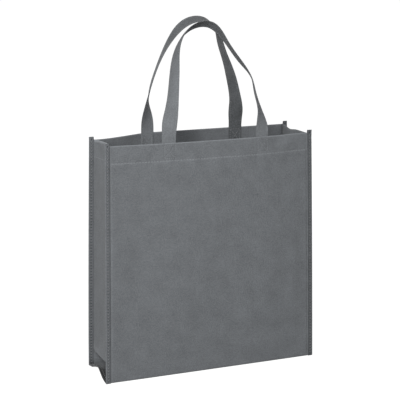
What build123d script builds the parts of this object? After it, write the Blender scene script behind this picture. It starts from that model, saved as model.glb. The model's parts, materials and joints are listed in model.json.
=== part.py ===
"""Grey non-woven tote bag: gusseted body, bound side seams, folded rim hem and two strap handles.

Millimetres. +X runs along the width, the front panel faces -Y, +Z is up.
The origin is the middle of the base, on the surface that the bag stands on.
"""
from build123d import *
import math
import os

os.makedirs("parts", exist_ok=True)

# ---- driving dimensions of the body ----
seam_width = 372.0        # between the two side seams of the front panel
bag_depth = 100.0         # outside face of the front panel to outside face of the back panel
rim_height = 400.0        # floor to rim
fabric = 0.8              # one layer of cloth, as modelled
allowance = 8.5           # seam allowance that stands out at each side seam
hem_height = 30.0         # folded band inside the rim

# ---- binding tape over the seam allowances ----
tape = 0.6                # tape thickness
tape_cover = 8.0          # how far the tape laps over the allowance, each side
tape_tail = 5.0           # tape standing above the rim
bottom_tape_inset = 3.0   # the bottom tape stops this far inside the front and back faces

# ---- strap handles ----
strap_width = 25.0
strap_thickness = 1.0     # folded and sewn, two layers
front_leg_spacing = 174.6 # between the centres of the front handle's two legs
back_leg_spacing = 168.0
front_shift = 7.4         # middle of the front handle, to the right of the bag's middle
back_shift = 5.6
front_reach = 184.0       # flex line to the top of the front loop, in the loop's plane
back_reach = 194.0        # the same for the back loop, which stands straighter
loop_lean = 9.0           # degrees that each loop leans towards the other
flex_above_rim = 5.0      # height of the line where the strap bends over the rim
end_gap = 0.5             # the sewn end stops this far below that line
loop_gap = 2.0            # the loop starts this far above that line
end_above_hem = 2.0       # lower end of the sewn strap, above the hem's lower edge
leg_bulge = 12.0          # how far the loop's control point spreads outside the legs
leg_pull = 95.0           # height of that control point
top_pull = 57.0           # half-width of the loop's upper control point
twist_power = 2.3         # how quickly the strap turns edge-on, leg to top
sections_per_side = 12    # cross-sections of the strap from leg to top

# ---- sewing thread ----
thread_width = 0.5
thread_height = 0.3       # how far the thread stands out of the cloth
hem_stitch_rise = 1.0     # hem stitching above the hem's lower edge
box_inset = 3.0           # box stitching inside the edges of the sewn strap
seam_thread_end = 3.0     # binding stitching stops this far from the tape's ends

# ---- derived positions ----
half_width = seam_width / 2
half_depth = bag_depth / 2
flange_edge = half_width + allowance
panel_inside = half_depth - fabric
hem_inside = panel_inside - fabric
strap_inside = hem_inside - strap_thickness
gusset_inside = half_width - fabric
gusset_hem_inside = gusset_inside - fabric
hem_bottom = rim_height - hem_height
flange_bottom = tape
flange_middle = flange_bottom + fabric
flange_top = flange_middle + fabric
bottom_flange_half = half_depth - bottom_tape_inset
tape_start = flange_edge - tape_cover
tape_outer = flange_edge + tape
leg_x = {-1: front_leg_spacing / 2, 1: back_leg_spacing / 2}
handle_middle = {-1: front_shift, 1: back_shift}
strap_mid = hem_inside - strap_thickness / 2
end_bottom = hem_bottom + end_above_hem
end_top = rim_height + flex_above_rim - end_gap
flex_height = rim_height + flex_above_rim


def save(built, label):
    """Name a finished piece and write it as its own STEP file."""
    built.part.label = label
    export_step(built.part, f"parts/{label}.step")


def span(low, high):
    """Middle and length of a span along one axis."""
    return (low + high) / 2, high - low


def block(x_span, y_span, z_span):
    """Add a rectangular slab to the open part, from its three spans."""
    x_mid, x_size = span(*x_span)
    y_mid, y_size = span(*y_span)
    with BuildSketch(Plane((x_mid, y_mid, z_span[0]))) as footprint:
        Rectangle(x_size, y_size)
    extrude(footprint.sketch, amount=z_span[1] - z_span[0])


def both(side, low, high):
    """A span given for the positive side, on either side of the middle."""
    return tuple(sorted((side * low, side * high)))


# ---- body cloth ----
def main_panel(side):
    """Front (side -1) or back (side +1) panel, with its seam allowances left and right."""
    with BuildPart() as panel:
        block((-flange_edge, flange_edge), both(side, panel_inside, half_depth), (0, rim_height))
    return panel


def bottom_panel():
    """Base cloth between the panels, with stepped allowances into the bottom bindings."""
    with BuildPart() as bottom:
        block((-half_width, half_width), (-panel_inside, panel_inside), (0, fabric))
        for side in (-1, 1):
            x_span = both(side, half_width - 2 * fabric, flange_edge)
            y_span = (-bottom_flange_half, bottom_flange_half)
            block(x_span, y_span, (flange_bottom, flange_middle))
    return bottom


def gusset(side):
    """Side gusset with its two upright allowances and its bottom allowance turned outwards."""
    with BuildPart() as side_cloth:
        web_x = both(side, gusset_inside, half_width)
        block(web_x, (-panel_inside, panel_inside), (flange_middle, rim_height))
        flange_x = both(side, gusset_inside, flange_edge)
        for face in (-1, 1):
            block(flange_x, both(face, hem_inside, panel_inside), (flange_middle, rim_height))
        block(flange_x, (-bottom_flange_half, bottom_flange_half), (flange_middle, flange_top))
    return side_cloth


# ---- hems ----
def panel_hem(side):
    """Cloth of the front or back panel folded down inside the rim."""
    with BuildPart() as hem:
        x_span = (-gusset_inside, gusset_inside)
        block(x_span, both(side, hem_inside, panel_inside), (hem_bottom, rim_height))
    return hem


def gusset_hem(side):
    """Cloth of a gusset folded down inside the rim."""
    with BuildPart() as hem:
        x_span = both(side, gusset_hem_inside, gusset_inside)
        block(x_span, (-hem_inside, hem_inside), (hem_bottom, rim_height))
    return hem


# ---- binding tapes ----
def corner_binding(x_side, y_side):
    """Tape folded over an upright seam allowance, its tail standing above the rim."""
    outer = half_depth + tape
    inner = hem_inside - tape
    heights = (0, rim_height + tape_tail)
    with BuildPart() as binding:
        leaf_x = both(x_side, tape_start, tape_outer)
        block(leaf_x, both(y_side, half_depth, outer), heights)
        block(leaf_x, both(y_side, inner, hem_inside), heights)
        block(both(x_side, flange_edge, tape_outer), both(y_side, inner, outer), heights)
    return binding


def bottom_binding(x_side):
    """Tape folded over the bottom seam allowance of one gusset."""
    y_span = (-bottom_flange_half, bottom_flange_half)
    top = flange_top + tape
    with BuildPart() as binding:
        leaf_x = both(x_side, tape_start, tape_outer)
        block(leaf_x, y_span, (0, flange_bottom))
        block(leaf_x, y_span, (flange_top, top))
        block(both(x_side, flange_edge, tape_outer), y_span, (0, top))
    return binding


# ---- handles ----
def loop_point(along, y_side, reach):
    """Point and tangent of a loop's centre line, in its own plane.

    along runs from 0 at the left flex line to 1 at the top of the loop.
    """
    controls = [
        Vector(-leg_x[y_side], 0),
        Vector(-leg_x[y_side] - leg_bulge, leg_pull),
        Vector(-top_pull, reach),
        Vector(0, reach),
    ]
    before = 1 - along
    point = (
        controls[0] * before**3
        + controls[1] * (3 * before**2 * along)
        + controls[2] * (3 * before * along**2)
        + controls[3] * along**3
    )
    tangent = (
        (controls[1] - controls[0]) * before**2
        + (controls[2] - controls[1]) * (2 * before * along)
        + (controls[3] - controls[2]) * along**2
    )
    return point, tangent.normalized()


def strap_plane(along, x_side, y_side, reach):
    """Plane of a strap cross-section: x along the strap's width, z along the strap."""
    point, tangent = loop_point(along, y_side, reach)
    lean = math.radians(loop_lean)
    lean_dir = Vector(0, -y_side * math.sin(lean), math.cos(lean))
    outward = Vector(0, y_side * math.cos(lean), math.sin(lean))
    across = Vector(-x_side, 0, 0)
    flex_middle = Vector(handle_middle[y_side], y_side * strap_mid, flex_height)
    origin = flex_middle + across * point.X + lean_dir * (point.Y + loop_gap * (1 - along))
    along_dir = across * tangent.X + lean_dir * tangent.Y
    turn = math.radians(90) * (1 - (1 - along)**twist_power)
    in_plane = across * tangent.Y - lean_dir * tangent.X
    width_dir = in_plane * math.cos(turn) + outward * math.sin(turn)
    return Plane(origin=origin, x_dir=width_dir, z_dir=along_dir)


def handle_loop(y_side, reach):
    """Free loop of a handle, from flex line to flex line, turning edge-on towards its top."""
    with BuildPart() as loop:
        for x_side in (-1, 1):
            for step in range(sections_per_side + 1):
                along = step / sections_per_side
                with BuildSketch(strap_plane(along, x_side, y_side, reach)):
                    Rectangle(strap_width, strap_thickness)
            loft(ruled=True)
    return loop


def handle_end(x_side, y_side):
    """Sewn end of a handle strap, flat on the inside of the hem up to the flex line."""
    x_mid = handle_middle[y_side] + x_side * leg_x[y_side]
    with BuildPart() as end:
        x_span = (x_mid - strap_width / 2, x_mid + strap_width / 2)
        block(x_span, both(y_side, strap_inside, hem_inside), (end_bottom, end_top))
    return end


# ---- stitching ----
def panel_hem_stitching(side):
    """Thread of the hem line, outside and inside the front or back panel."""
    low = hem_bottom + hem_stitch_rise - thread_width / 2
    z_span = (low, low + thread_width)
    x_span = (-gusset_hem_inside + fabric, gusset_hem_inside - fabric)
    with BuildPart() as thread:
        block(x_span, both(side, half_depth, half_depth + thread_height), z_span)
        block(x_span, both(side, hem_inside - thread_height, hem_inside), z_span)
    return thread


def gusset_hem_stitching(side):
    """Thread of the hem line, outside and inside a gusset."""
    low = hem_bottom + hem_stitch_rise - thread_width / 2
    z_span = (low, low + thread_width)
    y_span = (-bottom_flange_half, bottom_flange_half)
    with BuildPart() as thread:
        block(both(side, half_width, half_width + thread_height), y_span, z_span)
        block(both(side, gusset_hem_inside - thread_height, gusset_hem_inside), y_span, z_span)
    return thread


def handle_end_stitching(x_side, y_side):
    """Box and cross of thread over a sewn strap end, outside and inside the bag."""
    x_mid = handle_middle[y_side] + x_side * leg_x[y_side]
    z_mid, z_size = span(end_bottom + box_inset, rim_height - box_inset)
    x_size = strap_width - 2 * box_inset
    diagonal = math.hypot(x_size, z_size)
    slope = math.degrees(math.atan2(z_size, x_size))
    with BuildPart() as thread:
        for face in (half_depth + thread_height, strap_inside):
            sewn = Plane(origin=(x_mid, y_side * face, z_mid), x_dir=(1, 0, 0), z_dir=(0, -y_side, 0))
            with BuildSketch(sewn):
                Rectangle(x_size, z_size)
                Rectangle(x_size - 2 * thread_width, z_size - 2 * thread_width, mode=Mode.SUBTRACT)
                for turn in (slope, -slope):
                    Rectangle(diagonal - thread_width, thread_width, rotation=turn)
            extrude(amount=thread_height)
    return thread


def corner_binding_stitching(x_side, y_side):
    """Thread through an upright binding, on its outer and inner leaf."""
    x_mid = x_side * span(tape_start, flange_edge)[0]
    x_span = (x_mid - thread_width / 2, x_mid + thread_width / 2)
    z_span = (seam_thread_end, rim_height + tape_tail - seam_thread_end)
    outer = half_depth + tape
    inner = hem_inside - tape
    with BuildPart() as thread:
        block(x_span, both(y_side, outer, outer + thread_height), z_span)
        block(x_span, both(y_side, inner - thread_height, inner), z_span)
    return thread


def bottom_binding_stitching(x_side):
    """Thread along the upper leaf of a bottom binding."""
    x_mid = x_side * span(tape_start, flange_edge)[0]
    x_span = (x_mid - thread_width / 2, x_mid + thread_width / 2)
    y_span = (seam_thread_end - bottom_flange_half, bottom_flange_half - seam_thread_end)
    top = flange_top + tape
    with BuildPart() as thread:
        block(x_span, y_span, (top, top + thread_height))
    return thread


# ---- every piece, by side ----
left_and_right = {"left": -1, "right": 1}
front_and_back = {"front": -1, "back": 1}
loop_reach = {"front": front_reach, "back": back_reach}

save(bottom_panel(), "bottom_panel")

for face_name, face in front_and_back.items():
    save(main_panel(face), f"{face_name}_panel")
    save(panel_hem(face), f"{face_name}_hem")
    save(panel_hem_stitching(face), f"{face_name}_hem_stitching")
    save(handle_loop(face, loop_reach[face_name]), f"{face_name}_handle")

for side_name, side in left_and_right.items():
    save(gusset(side), f"{side_name}_gusset")
    save(gusset_hem(side), f"{side_name}_gusset_hem")
    save(gusset_hem_stitching(side), f"{side_name}_gusset_hem_stitching")
    save(bottom_binding(side), f"{side_name}_bottom_binding")
    save(bottom_binding_stitching(side), f"{side_name}_bottom_binding_stitching")

for face_name, face in front_and_back.items():
    for side_name, side in left_and_right.items():
        corner = f"{face_name}_{side_name}"
        save(corner_binding(side, face), f"{corner}_binding")
        save(corner_binding_stitching(side, face), f"{corner}_binding_stitching")
        save(handle_end(side, face), f"{corner}_handle_end")
        save(handle_end_stitching(side, face), f"{corner}_handle_end_stitching")
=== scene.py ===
"""Looks of the grey non-woven tote bag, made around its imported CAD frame.

Metres. +X runs along the bag's width, the front panel faces -Y, +Z is up.
Every body piece is first laid out as the square bag of the CAD model, and then goes
through warp(), one soft deformation of space, so that sewn edges stay together.
"""
import json
import math
import bpy
import numpy as np
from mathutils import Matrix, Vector


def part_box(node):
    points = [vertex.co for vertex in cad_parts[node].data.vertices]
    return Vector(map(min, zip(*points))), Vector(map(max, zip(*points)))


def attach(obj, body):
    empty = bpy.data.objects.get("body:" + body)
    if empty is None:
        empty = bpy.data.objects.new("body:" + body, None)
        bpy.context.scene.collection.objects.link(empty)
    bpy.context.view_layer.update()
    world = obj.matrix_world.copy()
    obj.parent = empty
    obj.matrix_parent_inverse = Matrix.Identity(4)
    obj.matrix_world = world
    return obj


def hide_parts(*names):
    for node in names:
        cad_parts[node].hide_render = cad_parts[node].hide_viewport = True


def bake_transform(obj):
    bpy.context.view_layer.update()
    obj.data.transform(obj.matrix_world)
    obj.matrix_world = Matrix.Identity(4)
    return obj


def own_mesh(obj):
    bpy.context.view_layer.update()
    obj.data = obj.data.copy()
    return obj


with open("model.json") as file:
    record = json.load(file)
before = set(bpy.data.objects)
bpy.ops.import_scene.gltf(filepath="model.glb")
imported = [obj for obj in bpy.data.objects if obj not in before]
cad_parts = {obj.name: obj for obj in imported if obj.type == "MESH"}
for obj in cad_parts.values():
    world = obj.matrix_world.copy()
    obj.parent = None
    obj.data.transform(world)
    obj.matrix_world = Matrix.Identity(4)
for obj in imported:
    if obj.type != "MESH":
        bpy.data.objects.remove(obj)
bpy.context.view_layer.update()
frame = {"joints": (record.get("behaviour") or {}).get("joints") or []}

FACES = {"front": -1, "back": 1}
SIDES = {"left": -1, "right": 1}
FACE_WORD = {sign: word for word, sign in FACES.items()}
SIDE_WORD = {sign: word for word, sign in SIDES.items()}

# ---- sizes read from the frame ----
PANEL_LOW, PANEL_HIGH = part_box("front_panel")
HEM_LOW, HEM_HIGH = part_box("front_hem")
TAPE_LOW, TAPE_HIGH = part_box("front_right_binding")
BOTTOM_TAPE_LOW, BOTTOM_TAPE_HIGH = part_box("right_bottom_binding")
GUSSET_HEM_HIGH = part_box("right_gusset_hem")[1]
END_LOW, END_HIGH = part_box("front_left_handle_end")
BOX_LOW, BOX_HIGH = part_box("front_left_handle_end_stitching")
HALF_DEPTH = -PANEL_LOW.y
FLANGE_EDGE = PANEL_HIGH.x
RIM = PANEL_HIGH.z
HEM_DROP = RIM - HEM_LOW.z
SEAM = HEM_HIGH.x + 0.0008
HINGES = {j["name"]: j for j in frame["joints"]}
HINGE_Z = HINGES["front_handle_swing"]["pos_m"][2]
FEET = {}                 # middle of each sewn strap end, by face and side
for face_word, face in FACES.items():
    for side_word, side in SIDES.items():
        end_low, end_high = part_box(f"{face_word}_{side_word}_handle_end")
        FEET[face, side] = (end_low.x + end_high.x) / 2

# ---- cloth and tape ----
CLOTH = 0.00055           # one layer of cloth
LAYER = 0.00080           # pitch of the layers that the CAD model gives
FOLD = 0.0005             # radius of the fold at the rim, at mid-cloth
BOTTOM_ROLL = 0.0025      # radius of the fold between a main panel and the base
ALLOWANCE_TURN = 0.0010   # radius where a gusset's allowance turns outwards
FOOT_ROLL = 0.0012        # and where its bottom allowance does
TAPE = 0.00045
TAPE_EASE = 0.0001        # gap between a tape and the allowances that it covers
LEAF_PRESS = 0.78         # a stitch line presses the leaves of a tape to this share
CELL = 0.0040             # grid spacing of the cloth meshes
FINE = 0.0013             # spacing along and across a tape
DETAIL = 0.0010           # spacing where stitches draw the cloth in

# ---- stitches ----
STITCH_PITCH = 0.0052
BOX_PITCH = 0.0036        # on the box and cross of a strap end
BOX_STITCH = dict(pitch=BOX_PITCH, length=0.0023, radius=0.00036)
EDGE_STITCH = dict(pitch=0.0042, length=0.0030, radius=0.00022)      # along the edges of a strap

# ---- the soft shape, where a pair is the place and the width of a hill for bump() ----
TOP_TAPER = {-1: 0.020, 1: 0.012}      # front and back rims are this share narrower than the base
RIGHT_IN = 0.0022         # the front right corner of the rim comes in this far more
RIGHT_BACK = 0.0055       # and leans back this far
BACK_OUT = 0.0015         # the back rim bows out this far
BACK_RISE = 0.0022        # it stands this much higher
BACK_LIFT = 0.0021        # its middle and right part stand this much higher still
BACK_SHIFT = 0.0028       # and this far to the left
RIM_SAG = 0.0010          # the front rim's ends stand this much higher than its middle
FOOT_IN = 0.0034          # the back left foot stands this far in
FOOT_LIFT = 0.0018        # and this high off the floor
FOOT_REACH = 0.05         # up to about this height
PINCH = 0.025             # the back left corner comes forward at the rim
PINCH_END = 0.060         # and that dies out this far left of the middle
ABOVE_RIM = 0.06          # the soft shape dies out this far above the rim
SQUEEZE = 0.30            # sewn allowances are this share thinner than their layers
VALLEY = 0.0012           # depth of the valley where a main panel meets its seam
VALLEY_AT = (SEAM - 0.0008, 0.0016)

BROAD_WAVE = 0.0024       # heights of a main panel's waves
FOLD_WAVE = 0.0009
SMALL_WAVE = 0.0004
BELLY = 0.0028            # and of its belly
CALM = 0.85               # the back's broad wave dies out by this share near the rim
RUMPLE = 0.0022           # crumple of the front rim near its right end: a crest and a dip
RUMPLE_CREST = (0.148, 0.022)
RUMPLE_DIP = (0.118, 0.014)
RUMPLE_BAND = (RIM - 0.014, 0.009)

HEM_LINE = RIM - HEM_DROP + 0.001
HEM_STEP = 0.0022         # height over which the cloth steps in to the hem band
HEM_IN = 0.0007           # depth of that step
RIM_IN = 0.0012           # the rim leans in this much more
GROOVE = (HEM_LINE, 0.0012)            # the hem's stitch line, this deep, and deeper at each stitch
GROOVE_DEPTH = 0.000175
DIMPLE_DEPTH = 0.000150
PUCKER = 0.0006           # height of the puckers along the hem line
PUCKER_BAND = (HEM_LINE, 0.012)
BOX_GROOVE = 0.00090      # depth and width of the stitch lines on a strap end
BOX_GROOVE_WIDTH = 0.0010

# By side: foot of the gusset drawn in and raised, dent above it, ridge over the dent, bow of the
# rim, turn of the bottom allowance, and sag of the rim.
GUSSET_SHAPE = {
    -1: dict(draw=0.001, lift=0.0078, dent=0.022, ridge=0.0060, bow=-0.0060, turn=0.70, sag=0.0),
    1: dict(draw=0.001, lift=0.0040, dent=0.010, ridge=0.0035, bow=-0.0020, turn=0.40, sag=0.0032),
}
GUSSET_NEAR = (0.125, 0.183)           # a gusset's shape grows between these distances from the middle
FOOT_HEIGHT = 0.026       # how far up the drawn-in foot reaches
DENT = (0.0125, 0.0115)
DENT_START = (0.0015, 0.0075)          # the dent grows between these heights
RIDGE_AT = 0.032
RIDGE_SLOPE = 0.006       # the ridge runs this much higher at the back, and lower at the front
RIDGE_SIZE = 0.009
BOW_BAND = (RIM, 0.055)
SAG_BAND = (RIM, 0.03)
CREASE = 0.0030           # depth of the gusset's old centre fold
CREASE_TOP = 0.330
CREASE_FADE = 0.10
CREASE_START = (0.03, 0.08)
FOLD_SHADE = {-1: 1.90, 1: 0.6}             # how dark the painted shade in the folds at the feet of the gussets is


def smooth(t):
    """Smooth step from 0 to 1."""
    t = np.clip(t, 0, 1)
    return t * t * (3 - 2 * t)


def between(x, start, end):
    """Smooth step from 0 at start to 1 at end."""
    return smooth((x - start) / (end - start))


def bump(x, middle, width):
    """Soft hill of height 1 about the middle."""
    return np.exp(-((x - middle) / width) ** 2)


def dimples(distance, pitch):
    """Wave from 0 to 1 that peaks at every stitch."""
    return 0.5 + 0.5 * np.cos(2 * math.pi * distance / pitch)


def box_lines(foot):
    """The box and cross of stitching about a strap's foot, as runs in the panel's plane."""
    half = (BOX_HIGH.x - BOX_LOW.x) / 2
    left, right = foot - half, foot + half
    a, b, c, d = (left, BOX_LOW.z), (right, BOX_LOW.z), (right, BOX_HIGH.z), (left, BOX_HIGH.z)
    return [(a, b), (b, c), (c, d), (d, a), (a, c), (b, d)]


def panel_waves(x, z, face):
    """How far a main panel stands out of its plane. The waves are in radians."""
    wide = x / SEAM
    up = np.clip(z / RIM, 0, 1)
    inside = 1 - between(np.abs(wide), 0.80, 1)
    free = smooth(up / 0.12)
    phase = 0.6 * face
    calm = 1 - CALM * between(up, 0.80, 0.95) * (face > 0)
    broad = BROAD_WAVE * calm * np.sin(2.1 * wide + 2.2 * up + phase)
    folds = FOLD_WAVE * np.sin(7.3 * wide - 3.1 * up + 2 * phase) * bump(up, 0.45, 0.5)
    small = SMALL_WAVE * np.sin(17.0 * wide + 9.0 * up) * np.sin(11.0 * up - 5.0 * wide + phase)
    belly = BELLY * bump(up, 0.42, 0.42) * bump(wide, -0.1, 0.8)
    crumple = (bump(x, *RUMPLE_CREST) - 0.8 * bump(x, *RUMPLE_DIP)) * bump(z, *RUMPLE_BAND) * (face < 0)
    return inside * free * (broad + folds + small + belly) + RUMPLE * crumple


def hem_relief(x, z):
    """Hem band: the cloth steps in, its stitch line draws in, and the rim leans inwards."""
    low = RIM - HEM_DROP
    groove = bump(z, *GROOVE) * (GROOVE_DEPTH + DIMPLE_DEPTH * dimples(x, STITCH_PITCH))
    band = smooth((z - low + FOLD) / HEM_STEP)
    tilt = np.clip((z - low) / HEM_DROP, 0, 1) ** 2
    pull = PUCKER * np.sin(41 * x / SEAM) * np.sin(13 * x / SEAM + 1) * bump(z, *PUCKER_BAND)
    return pull - HEM_IN * band - groove - RIM_IN * tilt


def sewn_relief(x, z, face):
    """Cloth drawn in along the box and cross that sews each strap end down."""
    drawn = 0.0
    fade = BOX_GROOVE_WIDTH
    for foot in (FEET[face, -1], FEET[face, 1]):
        for (ax, az), (bx, bz) in box_lines(foot):
            run = math.hypot(bx - ax, bz - az)
            along_it = ((x - ax) * (bx - ax) + (z - az) * (bz - az)) / run
            away = np.abs((x - ax) * (bz - az) - (z - az) * (bx - ax)) / run
            on_it = smooth((along_it + fade) / fade) * smooth((run + fade - along_it) / fade)
            depth = 0.25 + 0.75 * dimples(along_it, BOX_PITCH)
            drawn = np.maximum(drawn, bump(away, 0, BOX_GROOVE_WIDTH) * on_it * depth)
    return -BOX_GROOVE * drawn


def gusset_shape(x, z, side, across):
    """How far a gusset stands outwards and upwards of its plane. Across runs from -1 to 1."""
    g = GUSSET_SHAPE[side]
    belly = np.clip(1 - (across / 0.95)**2, 0, 1)
    share = (across + 1) / 2
    peak = np.clip(1.05 - np.sqrt(across**2 + 0.01), 0, 1) ** (1.2 - 0.3 * across)
    foot = np.exp(-(z / FOOT_HEIGHT) ** 2)
    deep = belly**0.5 * (1 - 0.45 * across)
    out = -g["draw"] * peak * foot
    out = out - g["dent"] * bump(z, *DENT) * between(z, *DENT_START) * deep
    out = out + g["ridge"] * bump(z, RIDGE_AT + RIDGE_SLOPE * across, RIDGE_SIZE) * belly**0.7
    out = out + g["bow"] * bump(z, *BOW_BAND) * belly
    fold = smooth((CREASE_TOP - z) / CREASE_FADE) * between(z, *CREASE_START)
    out = out - CREASE * fold * (1 - np.abs(across)) ** 1.3
    beyond = np.clip(np.abs(x) - SEAM, 0, None) * (z < 0.01)
    turned = g["turn"] * beyond * between(share, 0.16, 0.52) * (1 - between(share, 0.6, 0.85))
    sag = g["sag"] * bump(across, 0.25, 0.33) * bump(z, *SAG_BAND)
    return out, g["lift"] * peak * foot + turned - sag


def warp(points):
    """Moves points of the square bag to where the soft bag has them."""
    moved = np.array(points, float)
    x, y, z = (moved[..., k].copy() for k in range(3))
    up = np.clip(z / RIM, 0, 1)
    above = 1 - smooth((z - RIM) / ABOVE_RIM)
    across = np.clip(y / HALF_DEPTH, -1, 1)
    middle = np.sign(y) * (HALF_DEPTH - LAYER)
    layered = smooth((np.abs(x) - SEAM) / 0.0015) * smooth((np.abs(y) - 0.046) / 0.001)
    moved[..., 1] -= (y - middle) * SQUEEZE * layered
    for side in SIDES.values():
        out, raised = gusset_shape(x, z, side, across)
        near = between(side * x, *GUSSET_NEAR)
        moved[..., 0] += side * out * near
        moved[..., 2] += raised * near
    rear = (across + 1) / 2
    left = between(-x, PINCH_END, SEAM)
    right = between(x, PINCH_END, SEAM)
    bowed = (1 - left) * rear * up**1.5 * above
    taper = TOP_TAPER[-1] * (1 - rear) + TOP_TAPER[1] * rear
    ends = between(np.abs(x), 0.10, 0.18)
    moved[..., 0] -= (taper * x + RIGHT_IN * right * (1 - rear)) * up * above
    moved[..., 0] += FOOT_IN * left * rear * (1 - up) - BACK_SHIFT * bowed
    moved[..., 1] -= PINCH * up**1.2 * left * rear * above
    moved[..., 1] += RIGHT_BACK * right * (1 - rear) * up**1.5 * above + BACK_OUT * bowed
    moved[..., 2] += (BACK_RISE * rear + RIM_SAG * ends * (1 - rear)) * up * above + BACK_LIFT * bowed
    moved[..., 2] += FOOT_LIFT * left * rear * np.exp(-z / FOOT_REACH)
    for face in FACES.values():
        weight = smooth((face * across - 0.6) / 0.35) * above
        height = np.minimum(z, RIM)
        clear = 1 - smooth((np.abs(x) - SEAM + 0.004) / 0.003)
        stand = panel_waves(x, height, face)
        stand = stand + clear * (hem_relief(x, height) + sewn_relief(x, height, face))
        stand = stand - VALLEY * bump(np.abs(x), *VALLEY_AT) * smooth(z / 0.004)
        moved[..., 1] += face * weight * stand
    return moved


# ---- wear, painted shade and painted highlight, where a pair is a place and a width for bump(), or two ends for between() ----
RIM_WEAR_AND_HIGHLIGHT = (RIM, 0.0013)
HEM_WEAR_AND_HIGHLIGHT = (RIM - HEM_DROP + 0.0004, 0.0010)
SEAM_WEAR_AND_HIGHLIGHT = (SEAM - 0.0010, 0.0012)
FOLD_SHADE_NEAR = (0.15, 0.18)
FOLD_SHADE_TOP = 0.030         # the painted shade reaches this high in front
FOLD_SHADE_SLOPE = 0.018       # and lower by this slope towards the back
FOLD_SHADE_LEAST = 0.014       # but no lower than this
FOLD_SHADE_FADE = (-0.007, 0.002)           # about that height
FOOT_SHADOW_BAND = (0, 0.009)
FOOT_SHADOW_NEAR = (0.178, 0.182)
LINED = (SEAM - 0.0010, HALF_DEPTH - 0.0012)         # the hem's inner layer lies within these
INNER_CORNER_SHADE = (SEAM, 0.0045)


def wear_and_highlight(square):
    """Lighter cloth along the rim, the hem line and the seams of the main panels: partly wear where it is
    creased, partly painted highlight.
    """
    x, y, z = np.abs(square[..., 0]), np.abs(square[..., 1]), square[..., 2]
    outer = y > HALF_DEPTH - 2 * LAYER
    # painted highlight on the gusset rims, far stronger on the left rim than on the right
    rim = bump(z, *RIM_WEAR_AND_HIGHLIGHT) * np.where(outer, 1.1, np.where(square[..., 0] < 0, 2.2, 0.5))
    hem = 0.35 * bump(z, *HEM_WEAR_AND_HIGHLIGHT) * outer
    seam = 0.12 * bump(x, *SEAM_WEAR_AND_HIGHLIGHT) * outer
    return np.maximum(np.maximum(rim, hem), seam) * (x < SEAM + 0.002)


def painted_shade_and_highlight(square):
    """Painted shade in the fold above the foot of a gusset, painted highlight on its ridge, painted shadow
    at the back feet and painted shade in the hem's inner corners.
    """
    x, z = np.abs(square[..., 0]), square[..., 2]
    across = np.clip(square[..., 1] / HALF_DEPTH, -1, 1)
    by_side = np.where(square[..., 0] < 0, FOLD_SHADE[-1], FOLD_SHADE[1]) * between(x, *FOLD_SHADE_NEAR)
    edge_z = np.maximum(FOLD_SHADE_TOP - FOLD_SHADE_SLOPE * (across + 1), FOLD_SHADE_LEAST)
    below = 1 - between(z - edge_z, *FOLD_SHADE_FADE)
    forward = 1 - 0.62 * between(across, -0.35, 0.45)
    within = smooth((0.955 - np.abs(across)) / 0.03)
    # painted highlight along the ridge over the dent
    ridge_highlight = 0.35 * bump(z, RIDGE_AT + RIDGE_SLOPE * across - 0.001, 0.005) * by_side * within
    # painted shadow at the feet of the back corners
    corner = 0.45 * bump(z, *FOOT_SHADOW_BAND) * between(x, *FOOT_SHADOW_NEAR) * (across > 0)
    lined = (x < LINED[0]) & (np.abs(square[..., 1]) < LINED[1]) & (z > RIM - HEM_DROP)
    # painted shade in the bag's inner corners, in the hem band
    inner_corner_shade = 1.5 * lined * bump(x, *INNER_CORNER_SHADE) * bump(np.abs(across), 1.0, 0.09)
    return ridge_highlight - by_side * np.maximum(below * forward * within, corner) - inner_corner_shade


# ---- mesh helpers ----
def mesh_piece(name, verts, faces, flat, material, sharp=50, tone=None):
    """A new object from points, faces, each point's place on the flat cloth, and its tone."""
    mesh = bpy.data.meshes.new(name)
    mesh.from_pydata([tuple(v) for v in verts], [], [tuple(int(i) for i in f) for f in faces])
    corners = np.zeros(len(mesh.loops), np.int32)
    mesh.loops.foreach_get("vertex_index", corners)
    layer = mesh.uv_layers.new(name="flat")
    layer.data.foreach_set("uv", np.asarray(flat, np.float32)[corners].ravel())
    values = np.zeros(len(verts)) if tone is None else tone
    mesh.attributes.new("tone", "FLOAT", "POINT").data.foreach_set("value", np.asarray(values, np.float32))
    mesh.polygons.foreach_set("use_smooth", [True] * len(mesh.polygons))
    mesh.set_sharp_from_angle(angle=math.radians(sharp))
    mesh.materials.append(material)
    obj = bpy.data.objects.new(name, mesh)
    bpy.context.scene.collection.objects.link(obj)
    return obj


def unit(vectors):
    """Vectors of length 1."""
    return vectors / np.linalg.norm(vectors, axis=-1, keepdims=True)


def reach_along(points):
    """Distance of each point of a row from its first, along the row."""
    return np.concatenate([[0], np.cumsum(np.linalg.norm(np.diff(points, axis=0), axis=1))])


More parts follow.
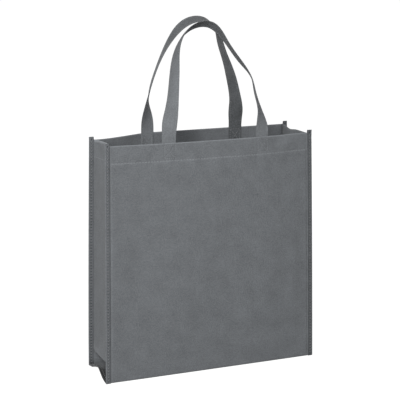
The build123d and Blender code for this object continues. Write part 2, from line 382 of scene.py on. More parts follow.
def shell(square, thickness):
    """Points, quads and flat places of a closed thin cloth, from its square middle surface."""
    rows, cols = square.shape[:2]
    down, across = reach_along(square[:, cols // 2]), reach_along(square[rows // 2])
    flat = grid(across, down[:, None], 0)[..., :2].reshape(-1, 2)
    soft = warp(square)
    normal = unit(np.cross(np.gradient(soft, axis=1), np.gradient(soft, axis=0)))
    verts = np.concatenate([
        (soft + normal * thickness / 2).reshape(-1, 3),
        (soft - normal * thickness / 2).reshape(-1, 3),
    ])
    top = np.arange(rows * cols).reshape(rows, cols)
    low = top + rows * cols
    quads = [
        (top[:-1, :-1], top[:-1, 1:], top[1:, 1:], top[1:, :-1]),
        (low[:-1, :-1], low[1:, :-1], low[1:, 1:], low[:-1, 1:]),
        (top[0, 1:], top[0, :-1], low[0, :-1], low[0, 1:]),
        (top[-1, :-1], top[-1, 1:], low[-1, 1:], low[-1, :-1]),
        (top[:-1, 0], top[1:, 0], low[1:, 0], low[:-1, 0]),
        (top[1:, -1], top[:-1, -1], low[:-1, -1], low[1:, -1]),
    ]
    faces = [np.stack([corner.ravel() for corner in quad], axis=1) for quad in quads]
    return verts, np.concatenate(faces), np.concatenate([flat, flat])


def cloth_piece(name, grids, thickness, material, tones=None):
    """One piece of cloth from one or more grids of its middle surface, and their tones."""
    verts, faces, flat, tone, count = [], [], [], [], 0
    for square, values in zip(grids, tones or [wear_and_highlight(g) for g in grids]):
        v, f, uv = shell(square, thickness)
        verts.append(v)
        faces.append(f + count)
        flat.append(uv)
        # the tones get painted shade and painted highlight on top
        tone.append(np.tile((values + painted_shade_and_highlight(square)).ravel(), 2))
        count += len(v)
    return mesh_piece(
        name, np.concatenate(verts), np.concatenate(faces), np.concatenate(flat), material,
        tone=np.concatenate(tone),
    )


def grid(x, y, z):
    """Points of a grid, from rows of one axis and columns of another."""
    return np.stack(np.broadcast_arrays(x, y, z), axis=-1)


def steps(low, high, size):
    """Evenly spaced values from low to high, about size apart."""
    return np.linspace(low, high, max(2, math.ceil(abs(high - low) / size) + 1))


def arc(centre, radius, start, stop, count):
    """Points of an arc in a plane, angles in degrees, without its first point."""
    angles = np.radians(np.linspace(start, stop, count + 1)[1:])
    return np.stack([centre[0] + radius * np.cos(angles), centre[1] + radius * np.sin(angles)], axis=1)


def line(start, end, size):
    """Points of a straight run in a plane."""
    start, end = np.array(start, float), np.array(end, float)
    count = max(1, math.ceil(np.linalg.norm(end - start) / size))
    return start + (end - start) * np.linspace(0, 1, count + 1)[:, None]


# ---- materials ----
class Nodes:
    """Small helper to write the node tree of a material or a world in few lines."""

    def __init__(self, owner):
        owner.use_nodes = True
        self.owner = owner
        self.tree = owner.node_tree
        self.surface = self.tree.nodes.get("Principled BSDF")

    def add(self, kind, inputs=None, **settings):
        node = self.tree.nodes.new("ShaderNode" + kind)
        for key, value in settings.items():
            setattr(node, key, value)
        for key, value in (inputs or {}).items():
            if isinstance(value, bpy.types.NodeSocket):
                self.tree.links.new(value, node.inputs[key])
            else:
                node.inputs[key].default_value = value
        return node

    def math(self, operation, a, b):
        return self.add("Math", {0: a, 1: b}, operation=operation).outputs[0]

    def total(self, value, *others):
        for other in others:
            value = self.math("ADD", value, other)
        return value

    def noise(self, vector, scale, detail, rough):
        inputs = {"Vector": vector, "Scale": scale, "Detail": detail, "Roughness": rough}
        return self.add("TexNoise", inputs).outputs["Fac"]

    def stretch(self, value, low, high, new_low=0.0, new_high=1.0):
        node = self.add("MapRange", {0: value, 1: low, 2: high, 3: new_low, 4: new_high})
        return node.outputs[0]

    def link(self, value, socket):
        self.tree.links.new(value, self.surface.inputs[socket])


def nonwoven(name, colour, dot_pitch=0.0014, dot_depth=0.00012):
    """Spunbond cloth: thermal bond dots in a staggered grid, loose fibres and cloudy density."""
    mottle, tint, grain_depth, painted_light_and_wear = 0.10, 0.09, 0.20, 0.45
    n = Nodes(bpy.data.materials.new(name))
    flat = n.add("UVMap", uv_map="flat").outputs["UV"]
    turned = n.add("Mapping", {"Vector": flat, "Rotation": (0, 0, math.radians(45))}).outputs[0]
    cell = n.add("TexVoronoi", {"Vector": turned, "Scale": 1.41 / dot_pitch, "Randomness": 0.0},
                 voronoi_dimensions="2D", feature="F1")
    dots = n.stretch(cell.outputs["Distance"], 0.20, 0.34, 1.0, 0.0)
    long_fibres = n.add("Mapping", {"Vector": flat, "Scale": (1.0, 0.30, 1.0), "Rotation": (0, 0, 0.35)})
    fibres = n.noise(long_fibres.outputs[0], 3200.0, 3.0, 0.65)
    cross_fibres = n.add("Mapping", {"Vector": flat, "Scale": (0.30, 1.0, 1.0), "Rotation": (0, 0, -0.5)})
    more_fibres = n.noise(cross_fibres.outputs[0], 2600.0, 3.0, 0.65)
    clouds = n.noise(flat, 210.0, 3.0, 0.55)
    patches = n.noise(flat, 34.0, 3.0, 0.6)
    grain = n.noise(flat, 520.0, 2.0, 0.6)
    # the tone attribute carries wear, painted shade and painted highlight
    tone = n.add("Attribute", attribute_name="tone").outputs["Fac"]
    shade = n.total(
        n.stretch(clouds, 0.25, 0.75, -mottle, mottle), n.stretch(patches, 0.3, 0.7, -tint, tint),
        n.math("MULTIPLY", dots, -0.10), n.stretch(fibres, 0.3, 0.7, -0.05, 0.05),
        n.stretch(grain, 0.3, 0.7, -grain_depth, grain_depth), n.math("MULTIPLY", tone, painted_light_and_wear), 1.0,
    )
    shaded = n.add("VectorMath", {0: colour, "Scale": shade}, operation="SCALE").outputs[0]
    n.link(shaded, "Base Color")
    n.link(n.stretch(clouds, 0.2, 0.8, 0.80, 0.92), "Roughness")
    n.surface.inputs["Specular IOR Level"].default_value = 0.28
    n.surface.inputs["Sheen Weight"].default_value = 0.12
    n.surface.inputs["Sheen Roughness"].default_value = 0.55
    height = n.total(
        n.math("MULTIPLY", dots, -1.0), n.math("MULTIPLY", fibres, 0.55),
        n.math("MULTIPLY", more_fibres, 0.55), n.math("MULTIPLY", clouds, 0.6),
    )
    raised = n.add("Bump", {"Height": height, "Distance": dot_depth, "Strength": 1.0})
    n.link(raised.outputs[0], "Normal")
    return n.owner


def twisted_thread(name, colour):
    """Spun polyester thread with its ply twist."""
    n = Nodes(bpy.data.materials.new(name))
    flat = n.add("UVMap", uv_map="flat").outputs["UV"]
    twist = n.add("TexWave", {"Vector": flat, "Scale": 700.0, "Distortion": 1.0, "Detail": 1.0},
                  bands_direction="DIAGONAL")
    shade = n.stretch(twist.outputs["Fac"], 0.0, 1.0, 0.86, 1.10)
    shaded = n.add("VectorMath", {0: colour, "Scale": shade}, operation="SCALE").outputs[0]
    n.link(shaded, "Base Color")
    n.link(n.stretch(twist.outputs["Fac"], 0.0, 1.0, 0.72, 0.58), "Roughness")
    n.surface.inputs["Sheen Weight"].default_value = 0.1
    raised = n.add("Bump", {"Height": twist.outputs["Fac"], "Distance": 0.00008, "Strength": 1.0})
    n.link(raised.outputs[0], "Normal")
    return n.owner


cloth_look = nonwoven("cloth", (0.147, 0.156, 0.1655))
strap_look = nonwoven("strap", (0.164, 0.174, 0.184))
tape_look = nonwoven("binding_tape", (0.132, 0.140, 0.149), dot_pitch=0.0011, dot_depth=0.00007)
thread_look = twisted_thread("thread", (0.23, 0.24, 0.25))


# ---- riding on the bodies ----
def with_front(obj):
    """Stays on the front side."""
    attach(obj, "front_side")


def with_gusset(obj):
    """Stays on the front side, with a mesh of its own."""
    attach(obj, "front_side")
    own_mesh(obj)


def with_back(obj):
    """Moves with the back side, with a mesh of its own."""
    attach(obj, "back_side")
    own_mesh(obj)


ride_on = {-1: with_front, 1: with_back}


# ---- stitching ----
def stitches(name, rows, pitch=STITCH_PITCH, length=0.0034, radius=0.00045):
    """Separate stitches in rows. A row is points and outward normals on the square bag."""
    verts, faces, flat, count = [], [], [], 0
    ends = np.array([-1.0, -0.78, -0.3, 0.3, 0.78, 1.0])
    girth = np.array([0.35, 0.85, 1.0, 1.0, 0.85, 0.35])
    lift = np.array([-0.9, -0.1, 0.5, 0.5, -0.1, -0.9])
    rings, sides = len(ends), 6
    turns = np.linspace(0, 2 * math.pi, sides + 1)[:-1]
    for points, normals in rows:
        points, normals = np.array(points, float), np.array(normals, float)
        soft = warp(points)
        normals = warp(points + normals * DETAIL) - soft
        reach = reach_along(soft)
        number = max(1, int((reach[-1] - length) / pitch) + 1)
        start = (reach[-1] - (number - 1) * pitch) / 2
        for i in range(number):
            at = start + i * pitch + ends * length / 2
            middle = np.stack([np.interp(at, reach, soft[:, k]) for k in range(3)], axis=1)
            out = unit(np.stack([np.interp(at, reach, normals[:, k]) for k in range(3)], axis=1))
            side = np.cross(unit(np.gradient(middle, axis=0)), out)
            middle = middle + out * (lift * radius)[:, None]
            ring = side[:, None] * np.cos(turns)[:, None] + out[:, None] * np.sin(turns)[:, None]
            verts.append((middle[:, None] + ring * (girth * radius)[:, None, None]).reshape(-1, 3))
            flat.append(grid(turns * radius, at[:, None], 0)[..., :2].reshape(-1, 2))
            last = count + (rings - 1) * sides
            for low in range(count, last, sides):
                for c in range(sides):
                    d = (c + 1) % sides
                    faces.append((low + d, low + c, low + sides + c, low + sides + d))
            faces.append(tuple(count + c for c in range(sides)))
            faces.append(tuple(last + c for c in reversed(range(sides))))
            count += rings * sides
    obj = mesh_piece(name, np.concatenate(verts), faces, np.concatenate(flat), thread_look, sharp=80)
    return obj


def straight_row(start, end, out, size=0.002):
    """A stitch row from start to end, with one outward direction."""
    start, end = np.array(start, float), np.array(end, float)
    count = max(2, math.ceil(np.linalg.norm(end - start) / size))
    points = start + (end - start) * np.linspace(0, 1, count)[:, None]
    return points, np.tile(np.array(out, float), (count, 1))


# ---- body cloth ----
EDGE_BAND = 0.006         # fine columns reach this far in from a seam
LOW_BAND = 0.004          # and fine rows this far below the hem
RIPPLE = 0.0010           # height of the ripples of the base
LEAD = 0.0002             # a fold begins with this much straight cloth
FOOT_Z = 2.2 * LAYER      # height of a gusset's bottom allowance


def panel_columns(face):
    """Columns of a main panel's mesh: close together at the seams and at the strap ends."""
    reach = STRAP_WIDTH / 2
    left, right = FEET[face, -1], FEET[face, 1]
    stops = [
        (-FLANGE_EDGE, DETAIL), (EDGE_BAND - SEAM, CELL), (left - reach, DETAIL), (left + reach, CELL),
        (right - reach, DETAIL), (right + reach, CELL), (SEAM - EDGE_BAND, DETAIL), (FLANGE_EDGE, None),
    ]
    runs = [steps(a, b, size)[:-1] for (a, size), (b, _) in zip(stops, stops[1:])]
    return np.concatenate(runs + [[FLANGE_EDGE]])


def main_panel(name, face):
    """Front or back cloth: one cut piece from the base, over the rim and down inside as the hem."""
    outer = HALF_DEPTH - LAYER / 2
    inner = outer - 2 * FOLD
    profile = np.concatenate([
        line((outer - BOTTOM_ROLL, CLOTH / 2), (outer - BOTTOM_ROLL + LEAD, CLOTH / 2), 1),
        arc((outer - BOTTOM_ROLL, CLOTH / 2 + BOTTOM_ROLL), BOTTOM_ROLL, -85, 0, 6),
        line((outer, CLOTH / 2 + BOTTOM_ROLL), (outer, RIM - HEM_DROP - LOW_BAND), CELL)[1:],
        line((outer, RIM - HEM_DROP - LOW_BAND), (outer, RIM - FOLD), DETAIL)[1:],
        arc((outer - FOLD, RIM - FOLD), FOLD, 0, 180, 6),
        line((inner, RIM - FOLD), (inner, RIM - HEM_DROP), DETAIL)[1:],
    ])
    x = panel_columns(face) * -face
    narrow = np.clip(x, -HEM_HIGH.x, HEM_HIGH.x)
    narrow = narrow + 0.02 * (x - narrow)
    folded = (profile[:, :1] < outer - FOLD / 2) & (profile[:, 1:] > RIM - HEM_DROP - DETAIL)
    square = grid(np.where(folded, narrow, x), face * profile[:, :1], profile[:, 1:])
    obj = cloth_piece(name, [square], CLOTH, cloth_look)
    side = FACE_WORD[face]
    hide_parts(f"{side}_panel", f"{side}_hem")
    ride_on[face](obj)


def base_cloth():
    """Base between the two folds, with its allowances stepped up into the bottom bindings."""
    half = HALF_DEPTH - LAYER / 2 - BOTTOM_ROLL
    low, high = CLOTH / 2, CLOTH / 2 + LAYER
    step_out, step_in = SEAM - 0.001, SEAM - 0.003
    profile = np.concatenate([
        line((-FLANGE_EDGE, high), (-step_out, high), CELL / 2),
        line((-step_in, low), (step_in, low), CELL),
        line((step_out, high), (FLANGE_EDGE, high), CELL / 2),
    ])
    x, y = profile[:, 0], steps(-half, half, CELL)[:, None]
    ripple = RIPPLE * (1 + np.sin(21 * x / SEAM) * np.cos(2.4 * y / half))
    free = smooth((half - np.abs(y)) / 0.015) * smooth((SEAM - np.abs(x)) / 0.02)
    obj = cloth_piece("base_cloth", [grid(x, y, profile[:, 1] + ripple * free)], CLOTH, cloth_look)
    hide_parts("bottom_panel")
    with_gusset(obj)


def gusset_cloth(name, side):
    """Side gusset: upright allowances turned outwards, bottom allowance, and hem over the rim."""
    web_x = SEAM - LAYER / 2
    edge_y = HALF_DEPTH - 1.5 * LAYER
    turn = ALLOWANCE_TURN
    across = np.concatenate([
        line((FLANGE_EDGE, -edge_y), (web_x + turn, -edge_y), FINE),
        arc((web_x + turn, -edge_y + turn), turn, 270, 180, 3),
        line((web_x, -edge_y + turn), (web_x, edge_y - turn), CELL)[1:],
        arc((web_x + turn, edge_y - turn), turn, 180, 90, 3),
        line((web_x + turn, edge_y), (FLANGE_EDGE, edge_y), FINE)[1:],
    ])
    z_low = BOTTOM_TAPE_HIGH.z + LAYER / 2
    web = grid(side * across[:, 0], -side * across[:, 1], steps(z_low, RIM - FOLD, CELL)[:, None])
    fold_y = steps(-GUSSET_HEM_HIGH.y, GUSSET_HEM_HIGH.y, CELL)
    profile = np.concatenate([
        line((web_x, RIM - FOLD - LEAD), (web_x, RIM - FOLD), 1),
        arc((web_x - FOLD, RIM - FOLD), FOLD, 0, 180, 6),
        line((web_x - 2 * FOLD, RIM - FOLD), (web_x - 2 * FOLD, RIM - HEM_DROP), CELL)[1:],
    ])
    hem = grid(side * profile[:, :1], -side * fold_y, profile[:, 1:])
    profile = np.concatenate([
        line((FLANGE_EDGE, FOOT_Z), (web_x + FOOT_ROLL, FOOT_Z), FINE),
        arc((web_x + FOOT_ROLL, FOOT_Z + FOOT_ROLL), FOOT_ROLL, 270, 180, 3),
    ])
    profile[-1, 1] = z_low
    foot_y = steps(BOTTOM_TAPE_LOW.y, BOTTOM_TAPE_HIGH.y, CELL)
    foot = grid(side * profile[:, :1], -side * foot_y, profile[:, 1:])
    obj = cloth_piece(name, [web, hem, foot], CLOTH, cloth_look)
    word = SIDE_WORD[side]
    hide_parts(f"{word}_gusset", f"{word}_gusset_hem")
    with_gusset(obj)


# ---- binding tapes ----
TAPE_GROOVE = 0.0013      # width of the groove along a tape's stitch line
FOLD_WEAR_AND_HIGHLIGHT = 0.0009        # width of the lighter folded edge of a tape, partly wear and partly painted highlight
TAPE_FOOT = 0.0004        # an upright tape starts this high
TAPE_GAP = LAYER + TAPE / 2 + TAPE_EASE              # from the middle of the seam to a leaf
BOTTOM_TAPE_Z = (BOTTOM_TAPE_LOW.z + BOTTOM_TAPE_HIGH.z) / 2
BOTTOM_TAPE_GAP = BOTTOM_TAPE_Z - TAPE / 2 - 2 * TAPE_EASE


def tape_profile(inner_start, outer_edge, middle, gap):
    """Middle line of a tape folded over an edge: out along one leaf, round, and back."""
    nose = outer_edge - TAPE / 2 - gap
    return np.concatenate([
        line((inner_start, middle + gap), (nose, middle + gap), FINE),
        arc((nose, middle), gap, 90, -90, 5),
        line((nose, middle - gap), (inner_start, middle - gap), FINE)[1:],
    ])


def tape_shade_and_highlight(outline, groove, pucker):
    """Tape with painted shade in the pits of its stitch line and along its seam edge, and lighter along its
    folded edge, partly wear and partly painted highlight.
    """
    edge = 0.35 * bump(outline[:, 0], outline[:, 0].max(), FOLD_WEAR_AND_HIGHLIGHT)
    # painted shade in the seam valley along the tape's inner edge
    seam = 0.9 * bump(outline[:, 0], outline[:, 0].min(), TAPE_GROOVE)
    # painted shade in the pits of the stitch line
    return edge - seam - groove * (0.3 + 1.7 * pucker**2)


def drawn_in(outline, seam_x, place):
    """Groove across a tape, pucker along it, and the share by which they draw it in."""
    groove = bump(outline[:, 0], seam_x, TAPE_GROOVE)
    pucker = dimples(place, STITCH_PITCH)[:, None]
    return groove, pucker, groove * (0.10 + 0.25 * pucker)


def tape_piece(name, square, tone, mirrored):
    """Tape from its grid and tones, with its outside facing out on a mirrored side too."""
    if mirrored:
        square, tone = square[:, ::-1], tone[:, ::-1]
    obj = cloth_piece(name, [square], TAPE, tape_look, [tone])
    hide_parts(name.replace("_tape", "_binding"))
    return obj


def corner_binding(name, x_side, y_side):
    """Tape over an upright seam, drawn in along its stitch line and pinched shut above the rim."""
    middle = HALF_DEPTH - LAYER
    outline = tape_profile(TAPE_LOW.x, TAPE_HIGH.x, middle, TAPE_GAP)
    z = steps(TAPE_FOOT, TAPE_HIGH.z, FINE)
    pinched = 1 - 0.55 * smooth((z - RIM) / 0.003)[:, None]
    groove, pucker, drawn = drawn_in(outline, (TAPE_LOW.x + FLANGE_EDGE) / 2, z)
    off = (outline[:, 1] - middle) * pinched * (1.1 - drawn)
    square = grid(x_side * outline[:, 0], y_side * (middle + off), z[:, None])
    # painted shade: tapes on the right side are darker all over
    tone = tape_shade_and_highlight(outline, groove, pucker) - 0.4 * (x_side > 0)
    obj = tape_piece(name, square, tone, x_side * y_side > 0)
    ride_on[y_side](obj)


def bottom_binding(name, side):
    """Tape over the bottom seam of a gusset."""
    outline = tape_profile(BOTTOM_TAPE_LOW.x, BOTTOM_TAPE_HIGH.x, BOTTOM_TAPE_Z, BOTTOM_TAPE_GAP)
    y = steps(BOTTOM_TAPE_LOW.y, BOTTOM_TAPE_HIGH.y, FINE)
    groove, pucker, drawn = drawn_in(outline, (BOTTOM_TAPE_LOW.x + FLANGE_EDGE) / 2, y)
    height = BOTTOM_TAPE_Z + (outline[:, 1] - BOTTOM_TAPE_Z) * (1 - drawn)
    square = grid(side * outline[:, 0], y[:, None], height)
    tone = tape_shade_and_highlight(outline, groove, pucker)
    obj = tape_piece(name, square, tone, side > 0)
    with_gusset(obj)


# ---- rows of stitching on the body ----
HALF_THREAD = 0.00025     # half the height of a row in the CAD model
OUTER_SKIN = (CLOTH - LAYER) / 2                     # from the seam's plane to the cloth's outside
INNER_SKIN = -(CLOTH + LAYER) / 2 - 2 * FOLD         # and to the inside of the folded hem


def hem_rows(face):
    """Hem line of a main panel, outside and inside."""
    low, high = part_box("front_hem_stitching")
    z, reach = low.z + HALF_THREAD, high.x
    outside = face * (HALF_DEPTH + OUTER_SKIN)
    inside = face * (HALF_DEPTH + INNER_SKIN)
    return [
        straight_row((-reach, outside, z), (reach, outside, z), (0, face, 0)),
        straight_row((-reach, inside, z), (reach, inside, z), (0, -face, 0)),
    ]


def gusset_hem_rows(side):
    """Hem line of a gusset, outside and inside."""
    low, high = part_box("right_gusset_hem_stitching")
    z = low.z + HALF_THREAD
    outside = side * (SEAM + OUTER_SKIN)
    inside = side * (SEAM + INNER_SKIN)
    return [
        straight_row((outside, low.y, z), (outside, high.y, z), (side, 0, 0)),
        straight_row((inside, low.y, z), (inside, high.y, z), (-side, 0, 0)),
    ]


def binding_rows(x_side, y_side):
    """Stitch line through an upright binding, on both leaves."""
    x = x_side * (TAPE_LOW.x + FLANGE_EDGE) / 2
    middle = HALF_DEPTH - LAYER
    leaf = TAPE_GAP * LEAF_PRESS + TAPE / 2
    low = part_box("front_right_binding_stitching")[0]
    rows = []
    for out in (-1, 1):
        y = y_side * (middle + out * leaf)
        rows.append(straight_row((x, y, low.z), (x, y, RIM - DETAIL), (0, out * y_side, 0)))
    return rows


def bottom_binding_rows(side):
    """Stitch line along the upper leaf of a bottom binding."""
    low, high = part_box("right_bottom_binding_stitching")
    x = side * (BOTTOM_TAPE_LOW.x + FLANGE_EDGE) / 2
    z = BOTTOM_TAPE_Z + BOTTOM_TAPE_GAP * LEAF_PRESS + TAPE / 2
    return [straight_row((x, low.y, z), (x, high.y, z), (0, 0, 1))]


# ---- handles ----
STRAP_WIDTH = END_HIGH.x - END_LOW.x
STRAP = END_HIGH.y - END_LOW.y
STRAP_Y = -(END_LOW.y + END_HIGH.y) / 2
SEWN_LOW = END_LOW.z - HINGE_Z
STRAP_STEP = 0.0025       # spacing of the rings along a strap
BODY = 0.36               # half thickness of a strap, as a share of the CAD strap's
WELT = (0.0012, 0.0011)   # a strap is thicker here, measured from its edge, and thinner in its seam
EDGE_SEAM = (0.0027, 0.0006)
EDGE_ROUND = 0.0005
UNDERSIDE = 0.03          # on the flat cloth, a strap's underside lies this far beside its top
EDGE_DEPTH = 0.27         # its stitches lie this far from its middle, as a share of the CAD strap
WELT_SHARE = 0.10
CUP = 0.0016              # a strap's edges curl up this far
CUP_REACH = 0.05          # and do so from this far above the hinge line
JOIN = 0.0040             # the sewn end hands over to the loop this far above the hinge line
LEAN = 0.032              # how far the top of a loop leans over the bag
STRAIGHT = 0.006          # the strap stands straight up to this far above the hinge line
FIRST_LEAN = 0.004        # of which this much comes soon, so that the loop drops clear of the cloth
FIRST_RISE = 0.02
FOOT_TURN = 2             # turn of a strap where it leaves the rim, in degrees
TURN_SCALE = 0.1          # metres for a radian, where a turn is part of a curve
TONGUE = 3                # rings of a sewn end that reach up inside the loop, so that no gap opens
TONGUE_SIZE = 0.95
LOOP_TOP_SHADE = -0.65         # painted shade on the outer side at the top of the loop
LOOP_TOP_SHADE_HEIGHTS = (0.10, 0.17)       # heights above the hinge line
INNER_SHADE = {-1: (-0.6, -0.6), 1: (0.1, -1.0)}      # painted shade on the inner side of a strap, from left to right
INNER_SHADE_FADE = (-0.07, 0.08)

# Stations of each handle's middle line: across, height above the hinge line, and turn in degrees,
# where 90 is edge-on with the inner edge outwards. They began as the rounded result of a
# least-squares fit to the loops' outlines in the photograph, and were then adjusted.
LOOPS = {
    -1: [
        (-0.0709, 0.045, 45), (-0.0605, 0.115, 74), (-0.0515, 0.153, 95), (-0.024, 0.182, 109),
        (0.010, 0.185, 103), (0.038, 0.156, 82), (0.0645, 0.119, 79), (0.0803, 0.095, 66),
        (0.0857, 0.071, 58), (0.0945, 0.035, 42),
    ],
    1: [
        (-0.0825, 0.045, 50), (-0.070, 0.105, 71), (-0.047, 0.156, 84), (-0.018, 0.186, 99),
        (0.018, 0.188, 98), (0.0385, 0.166, 92), (0.0435, 0.152, 86), (0.0505, 0.134, 82),
        (0.060, 0.113, 76), (0.0705, 0.085, 66), (0.0828, 0.040, 46),
    ],
}


def spline(knots, size):
    """Smooth curve through rows of numbers, with natural ends. The first three are a place."""
    knots = np.array(knots, float)
    t = reach_along(knots[:, :3])
    h = np.diff(t)
    count = len(t)
    system, right = np.eye(count), np.zeros((count, knots.shape[1]))
    for i in range(1, count - 1):
        system[i, i - 1:i + 2] = h[i - 1], 2 * (h[i - 1] + h[i]), h[i]
        right[i] = 6 * ((knots[i + 1] - knots[i]) / h[i] - (knots[i] - knots[i - 1]) / h[i - 1])
    curve = np.linalg.solve(system, right)
    at = steps(0, t[-1], size)
    i = np.clip(np.searchsorted(t, at, side="right") - 1, 0, count - 2)
    a, b, w = (t[i + 1] - at)[:, None], (at - t[i])[:, None], h[i][:, None]
    bent = (curve[i] * a**3 + curve[i + 1] * b**3) / (6 * w)
    return bent + (knots[i] / w - curve[i] * w / 6) * a + (knots[i + 1] / w - curve[i + 1] * w / 6) * b


def strap_line(face):
    """Middle line of a whole strap, with its width and thickness directions."""
    top = max(s[1] for s in LOOPS[face])
    left, right = FEET[face, -1], FEET[face, 1]
    stations = [(left, STRAIGHT, FOOT_TURN)] + LOOPS[face] + [(right, STRAIGHT, FOOT_TURN)]
    knots = []
    for across, height, turn in stations:
        rise = height - STRAIGHT
        lean = FIRST_LEAN * smooth(rise / FIRST_RISE) + (LEAN - FIRST_LEAN) * rise / top
        y = face * (STRAP_Y - lean)
        knots.append((across, y, HINGE_Z + height, math.radians(turn) * TURN_SCALE))
    sewn = [(face * STRAP_Y, HINGE_Z + h, 0.0) for h in (SEWN_LOW, SEWN_LOW / 2, -STRAIGHT)]
    curve = spline([(left, *s) for s in sewn] + knots + [(right, *s) for s in sewn[::-1]], STRAP_STEP)
    middle, turn = curve[:, :3], curve[:, 3] / TURN_SCALE
    run = unit(np.gradient(middle, axis=0))
    tilt = math.atan2(LEAN, top) * smooth((middle[:, 2] - HINGE_Z) / 0.03)
    outward = np.stack([np.zeros(len(tilt)), face * np.cos(tilt), np.sin(tilt)], axis=1)
    inner = unit(face * np.cross(outward, run))
    outward = np.cross(run, inner)
    outward *= np.sign((outward * [0, face, 0.2]).sum(axis=1))[:, None]
    wide = inner * np.cos(turn)[:, None] + outward * np.sin(turn)[:, None]
    thick = np.cross(run, wide)
    return middle, wide, thick


def strap_section():
    """Outline of the folded strap: places across its width and half thicknesses."""
    half = STRAP_WIDTH / 2
    w = half * np.sin(np.linspace(-math.pi / 2, math.pi / 2, 25))
    from_edge = half - np.abs(w)
    body = BODY + WELT_SHARE * (bump(from_edge, *WELT) - bump(from_edge, *EDGE_SEAM))
    rounding = np.sqrt(np.clip(1 - (1 - np.clip(from_edge / EDGE_ROUND, 0, 1)) ** 2, 0, 1))
    return w, STRAP * body * rounding


def strap_rings(middle, wide, thick, cup):
    """Rings of points round the strap, cupped across its width by a height for each ring."""
    w, half = strap_section()
    curl = cup[:, None] * (w / w.max()) ** 2
    flat = middle[:, None] + wide[:, None] * w[:, None]
    upper = flat + thick[:, None] * (curl + half)[..., None]
    lower = flat + thick[:, None] * (curl - half)[..., None]
    return np.concatenate([upper, lower[:, -2:0:-1]], axis=1)


def tube(name, rings, material, face):
    """Closed strap from rings, with capped ends. Its inner side carries painted shade, and so does its
    outer side at the top of the loop.
    """
    rows, cols = rings.shape[:2]
    index = np.arange(rows * cols).reshape(rows, cols)
    after = np.roll(index, -1, axis=1)
    quads = np.stack([index[:-1], after[:-1], after[1:], index[1:]], axis=-1).reshape(-1, 4)
    faces = [tuple(q) for q in quads] + [tuple(index[0, ::-1]), tuple(index[-1])]
    w = strap_section()[0]
    wrap = np.concatenate([w, UNDERSIDE + w[-2:0:-1]])
    flat = grid(wrap, reach_along(rings[:, 0])[:, None], 0)[..., :2].reshape(-1, 2)
    under = np.arange(cols) >= len(w)
    from_left = between(rings[:, 0, 0], *INNER_SHADE_FADE)
    # painted shade on the inner side
    shade = INNER_SHADE[face][0] * (1 - from_left) + INNER_SHADE[face][1] * from_left
    # painted shade on the outer side near the top of the loop
    top_shade = LOOP_TOP_SHADE * between(rings[:, 0, 2] - HINGE_Z, *LOOP_TOP_SHADE_HEIGHTS)
    tone = np.where((under == (face > 0))[None, :], shade[:, None], top_shade[:, None]).ravel()
    return mesh_piece(name, rings.reshape(-1, 3), faces, flat, material, sharp=60, tone=tone)


def handle(face):
    """Strap of one handle: a free loop, two sewn ends that bend over the rim, and its stitching."""
    side = FACE_WORD[face]
    middle, wide, thick = strap_line(face)
    top = int(middle[:, 2].argmax())
    join_z = HINGE_Z + JOIN
    cut_left = int(np.searchsorted(middle[:top, 2], join_z))
    cut_right = top + int(np.searchsorted(-middle[top:, 2], -join_z))
    cup = CUP * smooth((middle[:, 2] - HINGE_Z) / CUP_REACH)
    rings = warp(strap_rings(middle, wide, thick, cup))
    loop = tube(f"{side}_loop", rings[cut_left:cut_right + 1], strap_look, face)
    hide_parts(f"{side}_handle")
    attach(loop, f"{side}_loop")
    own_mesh(loop)
    centres = rings.mean(axis=1, keepdims=True)
    tongue = centres + (rings - centres) * TONGUE_SIZE
    ends = {
        "left": np.concatenate([rings[:cut_left + 1], tongue[cut_left + 1:cut_left + 1 + TONGUE]]),
        "right": np.concatenate([tongue[cut_right - TONGUE:cut_right], rings[cut_right:]]),
    }
    for word, end_rings in ends.items():
        end = tube(f"{side}_{word}_strap_end", end_rings, strap_look, face)
        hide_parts(f"{side}_{word}_handle_end")
        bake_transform(end)
    rows = []
    half = STRAP_WIDTH / 2
    stitch_in = half - EDGE_SEAM[0]
    body, across, out, lift = (a[cut_left + 1:cut_right] for a in (middle, wide, thick, cup))
    lift = lift * (stitch_in / half) ** 2
    for edge in (-1, 1):
        for skin in (-1, 1):
            at = body + across * edge * stitch_in + out * (lift + skin * STRAP * EDGE_DEPTH)[:, None]
            rows.append((at, out * skin))
    seam = stitches(f"{side}_loop_stitching", rows, **EDGE_STITCH)
    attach(seam, f"{side}_loop")
    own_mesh(seam)


def box_rows(face, foot_x):
    """Box and cross that sews a strap end down, outside and inside the bag."""
    outside = face * (HALF_DEPTH + OUTER_SKIN)
    inside = face * (STRAP_Y - STRAP * BODY)
    rows = []
    for y, out in ((outside, face), (inside, -face)):
        for (start_x, start_z), (end_x, end_z) in box_lines(foot_x):
            rows.append(straight_row((start_x, y, start_z), (end_x, y, end_z), (0, out, 0), DETAIL))
    return rows


# ---- make everything ----
def sew(name, rows, node, rides, **size):
    """Stitching in the place of a CAD node."""
    thread = stitches(name, rows, **size)
    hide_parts(node)
    rides(thread)


for face_name, face in FACES.items():
    main_panel(f"{face_name}_cloth", face)
    sew(f"{face_name}_hem_thread", hem_rows(face), f"{face_name}_hem_stitching", ride_on[face])

base_cloth()

for side_name, side in SIDES.items():
    gusset = f"{side_name}_gusset"
    bottom = f"{side_name}_bottom"
    gusset_cloth(f"{gusset}_cloth", side)
    bottom_binding(f"{bottom}_tape", side)
    sew(f"{gusset}_hem_thread", gusset_hem_rows(side), f"{gusset}_hem_stitching", with_gusset)
    sew(f"{bottom}_tape_thread", bottom_binding_rows(side), f"{bottom}_binding_stitching", with_gusset)

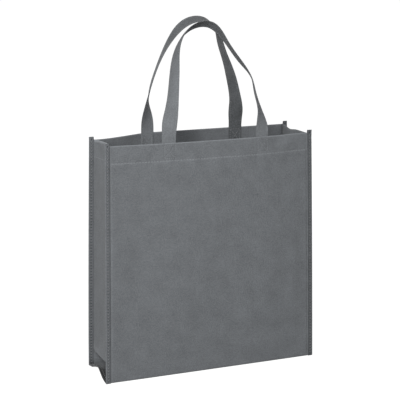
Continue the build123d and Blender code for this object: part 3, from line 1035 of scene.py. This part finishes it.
for face_name, face in FACES.items():
    for side_name, side in SIDES.items():
        corner = f"{face_name}_{side_name}"
        corner_binding(f"{corner}_tape", side, face)
        sew(f"{corner}_tape_thread", binding_rows(side, face), f"{corner}_binding_stitching", ride_on[face])
        boxes = box_rows(face, FEET[face, side])
        end = f"{corner}_handle_end_stitching"
        sew(f"{corner}_strap_end_thread", boxes, end, ride_on[face], **BOX_STITCH)
    handle(face)


# ---- floor, light and camera ----
FLOOR_REACH = 6.0
FLOOR_SEEN = 0.20         # greys of the floor: as the camera sees its shadows, and as it lights the bag
FLOOR_BOUNCE = 0.43
FLOOR_GLOW = 0.97
BACKDROP = 1.02
HORIZON = 0.36            # strength of the room's light from the side and from above
ZENITH = 0.27
WHITE = (1, 1, 1, 1)
# Place, size and power of each lamp, which faces the middle of the bag.
LAMPS = {"key": ((-1.36, -1.92, 1.30), 1.2, 61.0), "fill": ((1.70, 1.90, 0.75), 1.6, 24.0)}


def grey(level):
    """Opaque grey."""
    return level, level, level, 1


def floor():
    """Plain pale floor."""
    mesh = bpy.data.meshes.new("floor")
    r = FLOOR_REACH
    mesh.from_pydata([(-r, -r, 0), (r, -r, 0), (r, r, 0), (-r, r, 0)], [], [(0, 1, 2, 3)])
    pale = Nodes(bpy.data.materials.new("pale_floor"))
    seen = pale.add("AddShader", {
        0: pale.add("BsdfDiffuse", {"Color": grey(FLOOR_SEEN)}).outputs[0],
        1: pale.add("Emission", {"Color": WHITE, "Strength": FLOOR_GLOW}).outputs[0],
    })
    bounced = pale.add("BsdfDiffuse", {"Color": grey(FLOOR_BOUNCE)})
    choose = pale.add("MixShader", {
        0: pale.add("LightPath").outputs["Is Camera Ray"], 1: bounced.outputs[0], 2: seen.outputs[0],
    })
    pale.tree.links.new(choose.outputs[0], pale.tree.nodes["Material Output"].inputs["Surface"])
    mesh.materials.append(pale.owner)
    obj = bpy.data.objects.new("floor", mesh)
    bpy.context.scene.collection.objects.link(obj)


def add_facing(name, data, place, direction):
    """Adds a lamp or a camera at a place, facing along a direction."""
    obj = bpy.data.objects.new(name, data)
    obj.location = place
    obj.rotation_euler = direction.to_track_quat("-Z", "Y").to_euler()
    bpy.context.scene.collection.objects.link(obj)
    return obj


def camera(azimuth, elevation, distance, lens, target):
    """Camera that looks at the target, from angles in degrees, where 0, 0 is straight in front."""
    a, e = math.radians(azimuth), math.radians(elevation)
    back = Vector((math.sin(a) * math.cos(e), -math.cos(a) * math.cos(e), math.sin(e)))
    data = bpy.data.cameras.new("camera")
    data.lens = lens
    data.sensor_width = 36.0
    bpy.context.scene.camera = add_facing("camera", data, Vector(target) + back * distance, -back)


def studio():
    """White room light, with a large soft key from the front left and a fill from behind."""
    world = bpy.data.worlds.new("studio")
    n = Nodes(world)
    room = n.tree.nodes["Background"]
    room.inputs["Color"].default_value = WHITE
    place = n.add("TexCoord").outputs["Generated"]
    height = n.add("SeparateXYZ", {0: place}).outputs["Z"]
    n.tree.links.new(n.stretch(height, 0.0, 0.8, HORIZON, ZENITH), room.inputs["Strength"])
    backdrop = n.add("Background", {"Color": WHITE, "Strength": BACKDROP}).outputs[0]
    seen = n.add("LightPath").outputs["Is Camera Ray"]
    choose = n.add("MixShader", {0: seen, 1: room.outputs[0], 2: backdrop}).outputs[0]
    n.tree.links.new(choose, n.tree.nodes["World Output"].inputs["Surface"])
    bpy.context.scene.world = world
    for name, (place, size, power) in LAMPS.items():
        data = bpy.data.lights.new(name, "AREA")
        data.shape, data.size, data.energy = "DISK", size, power
        add_facing(name, data, place, Vector((0, 0, RIM / 2)) - Vector(place))
    bpy.context.scene.view_settings.view_transform = "Standard"


floor()
studio()
camera(azimuth=-23.57, elevation=11.54, distance=2.251, lens=118.0, target=(-0.0021, 0, 0.2894))
